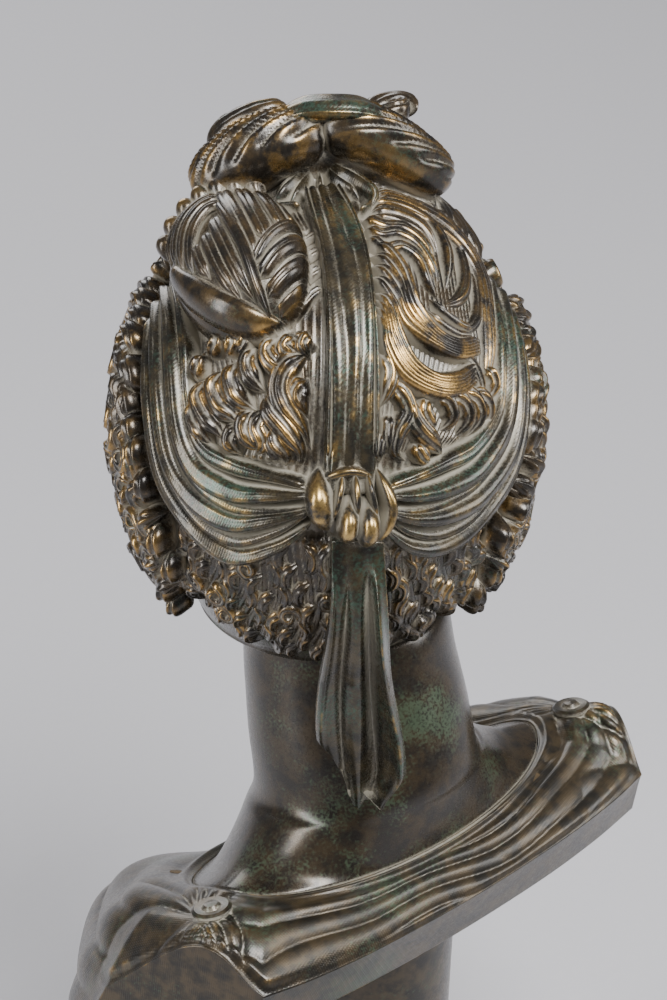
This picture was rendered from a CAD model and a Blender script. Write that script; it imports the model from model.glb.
import math
import bpy
import numpy as np
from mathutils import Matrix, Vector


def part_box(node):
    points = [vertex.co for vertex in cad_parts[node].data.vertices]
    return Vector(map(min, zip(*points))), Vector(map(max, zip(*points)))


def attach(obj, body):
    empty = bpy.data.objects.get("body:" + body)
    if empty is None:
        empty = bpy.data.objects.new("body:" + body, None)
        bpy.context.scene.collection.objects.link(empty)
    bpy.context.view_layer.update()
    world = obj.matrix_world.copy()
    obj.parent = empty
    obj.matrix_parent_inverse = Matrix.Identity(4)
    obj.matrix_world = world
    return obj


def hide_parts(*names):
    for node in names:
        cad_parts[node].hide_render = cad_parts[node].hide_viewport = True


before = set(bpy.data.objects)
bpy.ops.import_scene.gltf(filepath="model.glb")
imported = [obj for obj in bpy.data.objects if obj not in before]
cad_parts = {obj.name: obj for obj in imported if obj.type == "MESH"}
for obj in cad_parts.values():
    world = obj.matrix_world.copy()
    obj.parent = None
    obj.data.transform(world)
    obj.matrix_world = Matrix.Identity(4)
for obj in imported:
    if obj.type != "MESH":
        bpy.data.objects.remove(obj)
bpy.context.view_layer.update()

# ---------------------------------------------------------------- felt pad
# Green felt glued under the plinth so that it slides on a table without
# scratching. Cut square with scissors, a little smaller than the stone.
MM = 0.001


class Finish:
    """A procedural finish: one Principled surface and the nodes that feed it.
    Each method adds a node and gives back its output socket."""

    def __init__(self, name, **plain):
        self.material = bpy.data.materials.new(name)
        self.material.use_nodes = True
        self.tree = self.material.node_tree
        self.surface = self.tree.nodes["Principled BSDF"]
        for socket, value in plain.items():
            self.surface.inputs[socket.replace("_", " ")].default_value = value
        self.place = self.tree.nodes.new("ShaderNodeTexCoord").outputs["Object"]

    def feed(self, socket, value):
        """Link an output to the socket, or set a plain number on it."""
        if hasattr(value, "is_output"):
            self.tree.links.new(value, socket)
        else:
            socket.default_value = value

    def set(self, **values):
        """Feed the surface's sockets, with _ for each blank in their names."""
        for socket, value in values.items():
            self.feed(self.surface.inputs[socket.replace("_", " ")], value)

    def noise(self, size, detail=4.0, rough=0.55, bend=0.0):
        """Cloudy noise whose features are about size millimetres across."""
        n = self.tree.nodes.new("ShaderNodeTexNoise")
        self.tree.links.new(self.place, n.inputs["Vector"])
        n.inputs["Scale"].default_value = 1 / (size * MM)
        n.inputs["Detail"].default_value = detail
        n.inputs["Roughness"].default_value = rough
        n.inputs["Distortion"].default_value = bend
        return n.outputs["Fac"]

    def ridges(self, pitch, way, bend=0.0):
        """Parallel lines pitch millimetres apart, square to the direction way."""
        turn = self.tree.nodes.new("ShaderNodeMapping")
        a, b, c = way
        turn.inputs["Rotation"].default_value = (0, math.atan2(c, math.hypot(a, b)),
                                                 -math.atan2(b, a))
        self.tree.links.new(self.place, turn.inputs["Vector"])
        w = self.tree.nodes.new("ShaderNodeTexWave")
        w.wave_profile = "SIN"
        self.tree.links.new(turn.outputs[0], w.inputs["Vector"])
        w.inputs["Scale"].default_value = 1 / (pitch * MM) / 3.2
        w.inputs["Distortion"].default_value = bend
        return w.outputs["Fac"]

    def attribute(self, name):
        """The number that each point of the mesh carries under this name."""
        a = self.tree.nodes.new("ShaderNodeAttribute")
        a.attribute_name = name
        return a.outputs["Fac"]

    def shelter(self, reach):
        """1 in a narrow gap and 0 in the open, by the surfaces within reach millimetres."""
        a = self.tree.nodes.new("ShaderNodeAmbientOcclusion")
        a.samples = 6
        a.inputs["Distance"].default_value = reach * MM
        return self.sum(1.0, a.outputs["AO"], op="SUBTRACT")

    def sum(self, a, b, op="ADD"):
        """a + b, or another two-number operation op."""
        m = self.tree.nodes.new("ShaderNodeMath")
        m.operation = op
        self.feed(m.inputs[0], a)
        self.feed(m.inputs[1], b)
        return m.outputs[0]

    def ramp(self, value, low, high, out_low=0.0, out_high=1.0):
        """value eased from out_low at low to out_high at high."""
        m = self.tree.nodes.new("ShaderNodeMapRange")
        m.interpolation_type = "SMOOTHSTEP"
        self.feed(m.inputs["Value"], value)
        for name, number in (("From Min", low), ("From Max", high),
                             ("To Min", out_low), ("To Max", out_high)):
            m.inputs[name].default_value = number
        return m.outputs[0]

    def blend(self, share, a, b):
        """Colour a where share is 0 and colour b where it is 1."""
        m = self.tree.nodes.new("ShaderNodeMix")
        m.data_type = "RGBA"
        self.feed(m.inputs["Factor"], share)
        for socket, colour in ((m.inputs[6], a), (m.inputs[7], b)):
            if hasattr(colour, "is_output"):
                self.tree.links.new(colour, socket)
            else:
                socket.default_value = (*colour, 1)
        return m.outputs[2]

    def bump(self, height, depth, under=None):
        """Relief of depth millimetres; under is an earlier bump that it goes on top of."""
        b = self.tree.nodes.new("ShaderNodeBump")
        b.inputs["Distance"].default_value = depth * MM
        b.inputs["Strength"].default_value = 1.0
        self.feed(b.inputs["Height"], height)
        if under is not None:
            self.tree.links.new(under, b.inputs["Normal"])
        return b.outputs[0]


def outward(points, quads, tris):
    """The faces of one closed shell, turned round if its signed volume, the sum of
    the corner triple products, is below zero."""
    t = np.vstack([tris, quads[:, [0, 1, 2]], quads[:, [0, 2, 3]]])
    a, b, c = points[t[:, 0]], points[t[:, 1]], points[t[:, 2]]
    if np.einsum("ij,ij->", a, np.cross(b, c)) < 0:
        return quads[:, ::-1], tris[:, ::-1]
    return quads, tris


def spread(values, edges, rounds):
    """Each row of values replaced by the mean of its neighbours' rows, rounds times."""
    n = len(values)
    a, b = edges[:, 0], edges[:, 1]
    count = np.maximum(np.bincount(a, minlength=n) + np.bincount(b, minlength=n), 1)
    for _ in range(rounds):
        values = np.stack([(np.bincount(a, values[b, k], n) + np.bincount(b, values[a, k], n))
                           / count for k in range(values.shape[1])], 1)
    return values


def make_piece(name, shells, finish, nodes, crease=None):
    """One object from closed shells, each (points in millimetres, quads, tris). Two point
    attributes go with it, from each point's height along its normal over the smoothed
    surface: worn, 1 on fine ridges and 0 in fine grooves, and crest, for broad swells."""
    points, quads, tris, base = [], [], [], 0
    for p, q, t in shells:
        q, t = outward(p, q, t)
        points.append(p)
        quads.append(q + base)
        tris.append(t + base)
        base += len(p)
    points, quads, tris = np.vstack(points), np.vstack(quads), np.vstack(tris)
    mesh = bpy.data.meshes.new(name)
    mesh.vertices.add(len(points))
    mesh.vertices.foreach_set("co", (points * MM).ravel())
    corners = np.concatenate([quads.ravel(), tris.ravel()]).astype(np.int32)
    mesh.loops.add(len(corners))
    mesh.loops.foreach_set("vertex_index", corners)
    starts = np.concatenate([4 * np.arange(len(quads)),
                             4 * len(quads) + 3 * np.arange(len(tris))]).astype(np.int32)
    mesh.polygons.add(len(starts))
    mesh.polygons.foreach_set("loop_start", starts)
    mesh.update(calc_edges=True)
    mesh.shade_smooth()
    if crease:
        mesh.set_sharp_from_angle(angle=math.radians(crease))
    edges = np.empty(2 * len(mesh.edges), np.int32)
    mesh.edges.foreach_get("vertices", edges)
    normals = np.empty(3 * len(points), np.float32)
    mesh.vertices.foreach_get("normal", normals)
    edges, normals = edges.reshape(-1, 2), normals.reshape(-1, 3)
    fine = ((points - spread(points, edges, 3)) * normals).sum(1)
    fine -= spread(fine[:, None], edges, 10)[:, 0]
    broad = ((points - spread(points, edges, 30)) * normals).sum(1)
    for label, h in (("worn", fine), ("crest", broad)):
        h = 0.5 + 0.5 * np.tanh((h - np.median(h)) / (1.5 * h.std() + 1e-9))
        field = mesh.attributes.new(label, "FLOAT", "POINT")
        field.data.foreach_set("value", h.astype(np.float32))
    mesh.materials.append(finish.material)
    piece = bpy.data.objects.new(name, mesh)
    bpy.context.collection.objects.link(piece)
    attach(piece, "root")
    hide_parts(*nodes)


def dress_node(node, finish):
    """A CAD node that keeps its own mesh and gets the finish."""
    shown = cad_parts[node]
    shown.data.materials.clear()
    shown.data.materials.append(finish.material)


felt = Finish("felt_green", Sheen_Weight=0.6, Sheen_Roughness=0.5)
fluff = felt.noise(0.5, detail=6, rough=0.8)
felt.set(Base_Color=felt.blend(fluff, (0.012, 0.07, 0.035), (0.04, 0.16, 0.085)),
         Roughness=felt.ramp(fluff, 0, 1, 0.85, 1.0), Normal=felt.bump(fluff, 0.3))
dress_node("felt_pad", felt)

# ---------------------------------------------------------------- plinth
# Square block of dark green marble with pale veins, sawn, chamfered on its upper
# edges and polished. The tie rod's nut sits in a pocket underneath.
marble = Finish("marble_green", Coat_Weight=0.25, Coat_Roughness=0.05)
cloud = marble.noise(14, detail=8, rough=0.62, bend=0.8)
vein = marble.noise(26, detail=10, rough=0.6, bend=1.6)
off_middle = marble.sum(marble.sum(vein, 0.5, "SUBTRACT"), 0.0, "ABSOLUTE")
vein_line = marble.ramp(off_middle, 0.0, 0.018, 1.0, 0.0)
fine_vein = marble.ramp(marble.noise(5, detail=6, bend=2.5), 0.60, 0.66)
stone = marble.blend(cloud, (0.008, 0.020, 0.014), (0.035, 0.075, 0.050))
stone = marble.blend(marble.sum(fine_vein, 0.25, "MULTIPLY"), stone, (0.20, 0.30, 0.24))
stone = marble.blend(marble.sum(vein_line, 0.55, "MULTIPLY"), stone, (0.42, 0.50, 0.44))
marble.set(Base_Color=stone, Roughness=marble.ramp(cloud, 0.3, 0.7, 0.14, 0.24),
           Normal=marble.bump(marble.noise(0.6, detail=3), 0.01))
dress_node("plinth", marble)


# ---------------------------------------------------------------- socle
# Turned bronze socle: a torus foot, a hollow waist and a bead under the top
# moulding, cast, skimmed on the lathe and patinated. It stands on the stone.
def bronze(name, dark, warm, green, gold, dust, wear=0.5, dirt=0.5, spots=0.35, gloss=0.34,
           grain=0.02, reach=3.5):
    """Patinated bronze: dark and warm browns in clouds with green between, bare metal
    where worn is high, dust where it is sheltered."""
    b = Finish(name, Coat_Weight=0.35, Coat_Roughness=0.22, Coat_IOR=1.45)
    broad = b.noise(21, detail=5, rough=0.6)
    mid = b.noise(4.5, detail=5, rough=0.6)
    fine = b.noise(0.7, detail=4, rough=0.6)
    worn, crest = b.attribute("worn"), b.attribute("crest")
    tone = b.blend(b.ramp(mid, 0.35, 0.65), dark, warm)
    moss = b.ramp(b.sum(b.sum(broad, 0.6, "MULTIPLY"), b.sum(fine, 0.4, "MULTIPLY")),
                  0.62 - 0.2 * spots, 0.74 - 0.2 * spots)
    tone = b.blend(b.sum(moss, 0.8, "MULTIPLY"), tone, green)
    edge = b.sum(b.sum(worn, 0.65, "MULTIPLY"), b.sum(crest, 0.35, "MULTIPLY"))
    rubbed = b.sum(b.sum(mid, 0.55, "MULTIPLY"), b.sum(broad, 0.45, "MULTIPLY"))
    bare = b.sum(b.ramp(edge, 0.52, 0.80), b.ramp(rubbed, 0.62 - 0.2 * wear, 0.76 - 0.2 * wear),
                 "MULTIPLY")
    tone = b.blend(b.sum(bare, 0.85, "MULTIPLY"), tone, gold)
    hollow = b.sum(b.shelter(reach), b.sum(b.sum(1.0, worn, "SUBTRACT"), 0.6, "MULTIPLY"))
    hollow = b.sum(hollow, b.sum(fine, 0.35, "MULTIPLY"))
    settled = b.sum(b.ramp(hollow, 0.98 - 0.4 * dirt, 1.30 - 0.4 * dirt), 0.8, "MULTIPLY")
    b.set(Base_Color=b.blend(settled, tone, dust),
          Metallic=b.sum(b.ramp(bare, 0, 0.5, 0.55, 0.95),
                         b.sum(1.0, settled, "SUBTRACT"), "MULTIPLY"),
          Roughness=b.sum(b.ramp(fine, 0.2, 0.8, gloss - 0.06, gloss + 0.10),
                          b.sum(settled, 0.4, "MULTIPLY")),
          Normal=b.bump(fine, grain, b.bump(mid, grain * 3)))
    return b


def lathe(profile, seat, around=256, fine=0.5):
    """Closed shell of revolution: the profile, a list of (radius, height), is cut into
    steps no longer than fine, and carried once round the axis."""
    profile = np.array(profile, float)
    steps = np.linalg.norm(np.diff(np.vstack([profile, profile[:1]]), axis=0), axis=1)
    cuts = np.maximum(1, np.ceil(steps / fine)).astype(int)
    nxt = np.roll(profile, -1, axis=0)
    rz = np.vstack([p + (q - p) * (np.arange(c) / c)[:, None]
                    for p, q, c in zip(profile, nxt, cuts)])
    a = 2 * np.pi * np.arange(around) / around
    pts = np.stack([rz[:, :1] * np.cos(a), rz[:, :1] * np.sin(a),
                    seat + np.repeat(rz[:, 1:], around, 1)], -1)
    return close_grid(pts, True)


def close_grid(grid, round_v=False):
    """Shell from a grid of points (rows, columns, 3) that closes on itself along columns
    and, if round_v, along rows; otherwise the first and last rows end in a pole each."""
    rows, cols = grid.shape[:2]
    i = np.arange(rows if round_v else rows - 1)[:, None]
    j = np.arange(cols)[None, :]
    k, m = (i + 1) % rows, (j + 1) % cols
    quads = np.stack([i * cols + j, i * cols + m, k * cols + m, k * cols + j], -1).reshape(-1, 4)
    points = grid.reshape(-1, 3)
    if round_v:
        return points, quads, np.zeros((0, 3), int)
    poles = np.stack([grid[0].mean(0), grid[-1].mean(0)])
    n, j = len(points), np.arange(cols)
    m, last = (j + 1) % cols, (rows - 1) * cols
    tris = np.vstack([np.stack([m, j, np.full(cols, n)], 1),
                      np.stack([last + j, last + m, np.full(cols, n + 1)], 1)])
    return np.vstack([points, poles]), quads, tris


def ease(x):
    """0 below 0, 1 above 1, and the smooth cubic 3x2 - 2x3 between."""
    x = np.clip(x, 0, 1)
    return x * x * (3 - 2 * x)


DARK, WARM, GREEN = (0.014, 0.012, 0.009), (0.055, 0.039, 0.020), (0.045, 0.068, 0.040)
GOLD, DUST = (0.42, 0.27, 0.105), (0.42, 0.39, 0.32)
socle_bronze = bronze("bronze_socle", DARK, WARM, GREEN, GOLD, DUST, wear=0.35, dirt=0.3,
                      gloss=0.30)
socle_low, socle_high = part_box("socle")
socle_h = (socle_high.z - socle_low.z) / MM
foot_r = socle_high.x / MM
foot_h, bead_h, top_h, bore_r = 7.0, 4.0, 6.0, 4.3
top_r, waist_r = 27.0, 17.0
stem_h = socle_h - foot_h - bead_h - top_h
turn = np.radians(np.linspace(-90, 90, 25))
k = np.linspace(0, 1, 40)
stem_r = foot_r - 6 + (top_r - 3 - foot_r + 6) * k
stem_r = stem_r - (stem_r - waist_r) * np.sin(np.pi * k ** 0.8) ** 0.9
profile = np.vstack([
    [[bore_r, 0.0]],
    np.stack([foot_r - foot_h / 2 * (1 - np.cos(turn)), foot_h / 2 * (1 + np.sin(turn))], 1),
    [[foot_r - 4.5, foot_h], [foot_r - 4.5, foot_h + 0.9]],
    np.stack([stem_r[2:-2], foot_h + stem_h * k[2:-2]], 1),
    [[top_r - 4.3, foot_h + stem_h - 1.0]],
    np.stack([top_r - 2.5 - bead_h / 2 * (1 - np.cos(turn)),
              foot_h + stem_h + bead_h / 2 * (1 + np.sin(turn))], 1),
    [[top_r - 3.2, socle_h - top_h + 0.4], [top_r - 0.8, socle_h - top_h + 0.8],
     [top_r, socle_h - top_h + 1.6], [top_r, socle_h - 0.9], [top_r - 0.9, socle_h],
     [bore_r, socle_h]]])
make_piece("turned_socle", [lathe(profile, socle_low.z / MM)], socle_bronze,
           ["socle"], crease=38)

# ---------------------------------------------------------------- pillar and tie
# Cast pillar that carries the bust, an iron rod through everything, and its
# washers and nuts. Inside the bust a bronze bar spans the shoulders.
pillar_bronze = bronze("bronze_pillar", DARK, WARM, GREEN, GOLD, DUST, wear=0.25, dirt=0.25,
                       gloss=0.36)
pillar_low, pillar_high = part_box("pillar")
pillar_h, pillar_foot = (pillar_high.z - pillar_low.z) / MM, pillar_high.x / MM
turn = np.radians(np.linspace(0, 90, 12))
profile = np.vstack([
    [[bore_r, 0.0], [pillar_foot - 0.4, 0.0], [pillar_foot, 0.4], [pillar_foot, 2.2]],
    np.stack([pillar_foot - 3.2 + 3.2 * np.cos(turn), 2.4 + 2.6 * np.sin(turn)], 1)[1:],
    [[pillar_foot - 3.2, 16.0], [pillar_foot - 2.0, pillar_h - 0.3],
     [pillar_foot - 2.4, pillar_h], [bore_r, pillar_h]]])
make_piece("bust_pillar", [lathe(profile, pillar_low.z / MM, fine=1.0)], pillar_bronze,
           ["pillar"], crease=40)

iron = Finish("iron_forged")
scale_marks = iron.noise(1.6, detail=6, rough=0.7)
rust = iron.ramp(iron.noise(4, detail=5), 0.50, 0.66)
iron.set(Base_Color=iron.blend(rust, (0.10, 0.10, 0.105), (0.16, 0.065, 0.025)),
         Roughness=iron.ramp(scale_marks, 0.3, 0.7, 0.38, 0.62),
         Metallic=iron.ramp(rust, 0, 1, 0.9, 0.25),
         Normal=iron.bump(scale_marks, 0.08, iron.bump(iron.ridges(1.25, (0, 0, 1)), 0.12)))
for node in ("tie_rod", "tie_washers", "tie_nuts"):
    dress_node(node, iron)

raw_bronze = Finish("bronze_as_cast", Metallic=0.7)
sand = raw_bronze.noise(0.9, detail=6, rough=0.7)
stain = raw_bronze.noise(9, detail=5)
raw_bronze.set(Base_Color=raw_bronze.blend(raw_bronze.ramp(stain, 0.35, 0.65),
                                           (0.075, 0.052, 0.028), (0.15, 0.10, 0.045)),
               Roughness=raw_bronze.ramp(sand, 0.3, 0.7, 0.5, 0.75),
               Normal=raw_bronze.bump(sand, 0.25))
for node in ("bridge_bar", "joint_strap", "joint_pins"):
    dress_node(node, raw_bronze)

# ---------------------------------------------------------------- bust shell
# The dress and shoulders, cast in one thin shell that is open underneath. The
# arms end in flat cuts and the back in a plain facet; folds are chased after.
shoulder_w, torso_d, shoulder_h, wall = 129.0, 80.0, 97.0, 3.2
seat_z = socle_high.z / MM - 0.1


def through(p, k, sharp=None, closed=False):
    """Cubic curve through the points p at the parameters k. The slope at a point is half
    the step between its neighbours, or at a corner, where sharp is 1, the step itself."""
    p, k = np.asarray(p, float), np.asarray(k, float)
    n = len(p)
    top = n if closed else n - 1
    sharp = np.zeros(n) if sharp is None else np.asarray(sharp, float)
    i = np.clip(np.floor(k).astype(int), 0, top - 1)
    a, b, before, after = p[i % n], p[(i + 1) % n], p[(i - 1) % n], p[(i + 2) % n]

    def wide(x):
        return x.reshape(x.shape + (1,) * (a.ndim - x.ndim))
    if not closed:
        before = np.where(wide(i == 0), 2 * a - b, before)
        after = np.where(wide(i == top - 1), 2 * b - a, after)
    f, s0, s1 = wide(k - i), wide(sharp[i % n]), wide(sharp[(i + 1) % n])
    m0 = (1 - s0) * (b - before) / 2 + s0 * (b - a)
    m1 = (1 - s1) * (after - a) / 2 + s1 * (b - a)
    return (a * (2 * f ** 3 - 3 * f ** 2 + 1) + b * (3 * f ** 2 - 2 * f ** 3)
            + m0 * (f ** 3 - 2 * f ** 2 + f) + m1 * (f ** 3 - f ** 2))


def bell(x, w):
    """Bell curve exp(-x2 / 2w2)."""
    return np.exp(-x * x / (2 * w * w))


def unit(v):
    return v / np.maximum(np.linalg.norm(v, axis=-1, keepdims=True), 1e-9)


def neckline(a):
    """Edge of the dress at the eccentric angle a in degrees: two half ellipses in plan,
    dipping in front."""
    c, s = np.cos(np.radians(a)), np.sin(np.radians(a))
    dip = (-s + np.sqrt(s * s + 0.02)) / 2.01
    return np.stack([0.36 * shoulder_w * c, 4 + s * np.where(s > 0, 0.275, 0.47) * torso_d,
                     shoulder_h - 0.5 - 31 * dip], -1)


def cut_x(y, z):
    """Reach of the flat arm cut from the middle line, by depth and height."""
    return 64.5 - 0.41 * (y - 16) - 0.043 * (z - 97)


def on_cut(y, z):
    return [cut_x(y, z), y, z]


STATIONS = [
    (90, [0, 31, 93], [0, 37.5, 88], [0, 36.2, 84], [0, 34.8, 79.5], [0, 33.5, 75]),
    (68, [22, 30, 93.3], [26, 36.8, 88.2], [26, 35.4, 84], [26, 34.1, 79.5], [26, 32.8, 75]),
    (46, [39, 25.5, 94], [45, 35, 88.6], [45, 33.5, 84], [45, 32.2, 79.5], [45, 31, 75]),
    (27, [50, 22, 95], on_cut(32.5, 89), on_cut(31.2, 85), on_cut(29.8, 80), on_cut(28.4, 75)),
    (8, [56, 13, 97.5], on_cut(17, 97), on_cut(15.5, 82), on_cut(14.5, 71), on_cut(14, 61)),
    (-12, [60, -4, 89], on_cut(-4, 76), on_cut(-9, 62), on_cut(-9, 51), on_cut(-3, 41)),
    (-32, [51, -22, 80], [62, -25, 66], [66, -27, 52], [65, -23, 39], [61, -14, 27]),
    (-54, [33, -36, 68], [38, -46, 57], [40, -50.5, 44], [39, -43, 27], [37, -33, 15]),
    (-73, [15, -40, 57], [16, -45, 47], [17, -47.5, 36], [16, -41, 19], [16, -33, 7]),
    (-90, [0, -41, 54], [0, -43, 45], [0, -43.5, 34], [0, -38, 17], [0, -32, 5])]
corner = [0, 0, 0, 1, 0, 1, 0, 0, 0, 0]
half_rows = np.array([row[1:] for row in STATIONS], float)
mirror = half_rows[-2:0:-1] * [-1, 1, 1]
body_rows = np.vstack([half_rows, mirror])
body_corner = corner + corner[-2:0:-1]
station_angle = np.array([row[0] for row in STATIONS]
                         + [-180 - row[0] for row in STATIONS[-2::-1]], float)
round_n = len(body_rows)


def torso(u, v):
    """Skin of the dress: u runs once round from the back, v from 0 at the neckline to 5
    at the lower edge. Closed cubics along the stations, then a cubic down each column."""
    k = u * round_n
    down = through(body_rows, k, body_corner, True)
    top = neckline(np.interp(k, np.arange(round_n + 1), station_angle))
    columns = np.concatenate([top[:, None], down], 1).transpose(1, 0, 2)
    edge = 1 - ease(np.minimum(k, round_n - k) - 5)
    sharp = np.zeros((6, len(u)))
    sharp[2] = edge
    return through(columns, v, sharp), edge


def grid_normals(grid):
    """Unit normals of a grid that closes along its columns, from the cross product of
    the central differences."""
    du = np.roll(grid, -1, 1) - np.roll(grid, 1, 1)
    return unit(np.cross(du, np.gradient(grid, axis=0)))


around = 620
u = np.arange(around) / around
v = np.concatenate([np.linspace(0, 0.3, 14)[:-1], np.linspace(0.3, 2, 44)[:-1],
                    np.linspace(2, 5, 56)])
skin, edge = torso(u, v)
normal = grid_normals(skin)
wall_way = unit((1 - ease(v))[:, None, None] * np.array([0, 0, 1.0]) + ease(v)[:, None, None] * normal)
inner = skin - wall * wall_way
x, y, z = skin[..., 0], skin[..., 1], skin[..., 2]
inside_cut = ease((cut_x(y, z) - np.abs(x) - 0.4) / 3.0)
cloth = inside_cut * (1 - edge[None] * ease((v[:, None] - 1.78) / 0.2)) * ease((5 - v[:, None]) / 0.5)
folds = np.zeros_like(x)
for side in (1, -1):
    brooch = np.array([side * 57.0, 9.5, 96.5])
    away = skin - brooch
    r = np.linalg.norm(away, axis=-1)
    turn = np.arctan2(away[..., 2] + 0.35 * away[..., 1], side * away[..., 0] - 0.5 * away[..., 1])
    comb = np.abs(np.sin(7.5 * turn + 0.5 * np.sin(r / 9.0) + side)) ** 0.55
    folds += 1.5 * comb * (1 - bell(r, 5)) * bell(np.maximum(r - 12, 0), 22)
hang = np.sqrt((x / 1.25) ** 2 + (z - 104) ** 2)
front = ease((-y - 2) / 22)
comb = np.abs(np.sin(hang / 3.1 + 0.7 * np.sin(x / 13.0) + 0.4 * np.sin(z / 8.0))) ** 0.6
folds += 1.5 * front * comb * ease((hang - 44) / 10)
back = ease((y - 6) / 10)
comb = np.abs(np.sin(6.5 * v[:, None] + 1.3 * np.sin(x / 15.0) + 0.5 * np.sin(x / 6.0))) ** 0.7
folds += 0.8 * back * comb * ease((v[:, None] - 0.35) / 0.3)
breast = sum(bell(np.linalg.norm(skin - [s * 25, -46, 50], axis=-1), 12) for s in (1, -1))
hem = 1.1 * bell(v[:, None] - 0.16, 0.07) * inside_cut
calm = ease((v[:, None] - 0.1) / 0.25)
raised = (folds * cloth * calm + hem + 4.5 * breast) - 0.25
skin = skin + raised[..., None] * normal * ease(v / 0.08)[:, None, None]
inner_rows = inner[::-1][::5]
ring = np.concatenate([skin, inner_rows[:-1], inner[:1]], 0) + [0, 0, seat_z]
dress_bronze = bronze("bronze_dress", DARK, WARM, GREEN, GOLD, DUST, wear=0.55, dirt=0.35,
                      spots=0.45, gloss=0.33, grain=0.03)
weave = dress_bronze.sum(dress_bronze.ridges(0.5, (1, 0.3, 0), bend=0.6),
                         dress_bronze.ridges(0.5, (-0.3, 1, 0.4), bend=0.6), "MULTIPLY")
rest = dress_bronze.surface.inputs["Normal"].links[0].from_socket
dress_bronze.set(Normal=dress_bronze.bump(weave, 0.035, rest))
make_piece("dress_shell", [close_grid(ring, True)], dress_bronze,
           ["bust_shell"])
brooch_bronze = bronze("bronze_brooch", DARK, WARM, GREEN, GOLD, DUST, wear=1.0, dirt=0.3)
for node in ("brooch_left", "brooch_right"):
    dress_node(node, brooch_bronze)

# ---------------------------------------------------------------- head casting
# Head and neck in one hollow casting, pinned to the dress at the neckline. The
# face is a calm classical one on the usual thirds; the skin is filed smooth.
skull = np.array([40.0, 50.0, 52.0])
head_c = np.array([-4.0, -19.0, 184.0])
head_roll, head_turn = math.radians(-3), math.radians(-38)
roll = np.array([[math.cos(head_roll), 0, math.sin(head_roll)], [0, 1, 0],
                 [-math.sin(head_roll), 0, math.cos(head_roll)]])
yaw = np.array([[math.cos(head_turn), -math.sin(head_turn), 0],
                [math.sin(head_turn), math.cos(head_turn), 0], [0, 0, 1]])
HEAD_WAY = yaw @ roll


def from_head(p):
    """Head frame (x to the figure's left, y back, z up) to the object's frame."""
    return p @ HEAD_WAY.T + head_c + [0, 0, seat_z]


HEAD_RINGS = np.array([
    [-0.80, -0.98, 0.63, -0.62, 0.64, 0.10], [-0.76, -1.03, 0.66, -0.74, 0.66, 0.22],
    [-0.71, -1.04, 0.71, -0.82, 0.68, 0.30], [-0.66, -1.00, 0.75, -0.87, 0.71, 0.28],
    [-0.60, -0.92, 0.79, -0.885, 0.75, 0.24], [-0.54, -0.83, 0.835, -0.88, 0.79, 0.20],
    [-0.48, -0.74, 0.87, -0.885, 0.83, 0.17], [-0.42, -0.65, 0.90, -0.89, 0.865, 0.14],
    [-0.36, -0.56, 0.925, -0.895, 0.89, 0.12], [-0.30, -0.47, 0.95, -0.90, 0.915, 0.10],
    [-0.24, -0.38, 0.965, -0.905, 0.935, 0.08], [-0.18, -0.29, 0.98, -0.91, 0.955, 0.07],
    [-0.12, -0.20, 0.99, -0.915, 0.97, 0.06], [-0.06, -0.11, 0.995, -0.925, 0.985, 0.05],
    [0, -0.02, 1, -0.94, 0.99, 0.04], [0.08, 0.08, 0.995, -0.955, 0.99, 0.02],
    [0.2, 0.2, 0.98, -0.965, 0.978, 0], [0.34, 0.34, 0.94, -0.94, 0.94, 0],
    [0.5, 0.5, 0.866, -0.866, 0.866, 0], [0.66, 0.66, 0.751, -0.751, 0.751, 0],
    [0.8, 0.8, 0.6, -0.6, 0.6, 0], [0.92, 0.92, 0.392, -0.392, 0.392, 0],
    [0.98, 0.98, 0.199, -0.199, 0.199, 0]])
neck_r, neck_c, neck_top = 23.5, np.array([1.5, 1.0, 106.0]), np.array([-1.0, -10.0, 142.0])


def neck_ring(k, a):
    c = neck_c + (neck_top - neck_c) * k
    r = neck_r + 2.2 * (1 - ease(k))
    s = np.sin(a)
    return c + np.stack([r * np.cos(a), 0.97 * r * s, 7 * s * (1 - 0.6 * k)], -1)


def yoke(k, a):
    """Flesh from the neckline, k = 0, to the foot of the neck, k = 1: a straight blend
    in plan by k^0.72 and in height by k^1.3, which gives the hollow curve."""
    low, high = neckline(np.degrees(a)) - [0, 0, 0.25], neck_ring(0, a)
    return low + (high - low) * np.array([k ** 0.72, k ** 0.72, k ** 1.3])


def ring_point(g, lon):
    """Point of a head ring at longitude lon, 0 at the back: an egg whose height and
    reach go from the back value to the front value as half a cosine."""
    f, m = np.maximum(0, -np.cos(lon)), 0.5 - np.cos(lon) / 2
    return np.stack([-g[4] * skull[0] * np.sin(lon) * (1 - g[5] * f),
                     skull[1] * (g[2] + (g[3] - g[2]) * m),
                     skull[2] * (g[0] + (g[1] - g[0]) * m)], -1)


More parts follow.
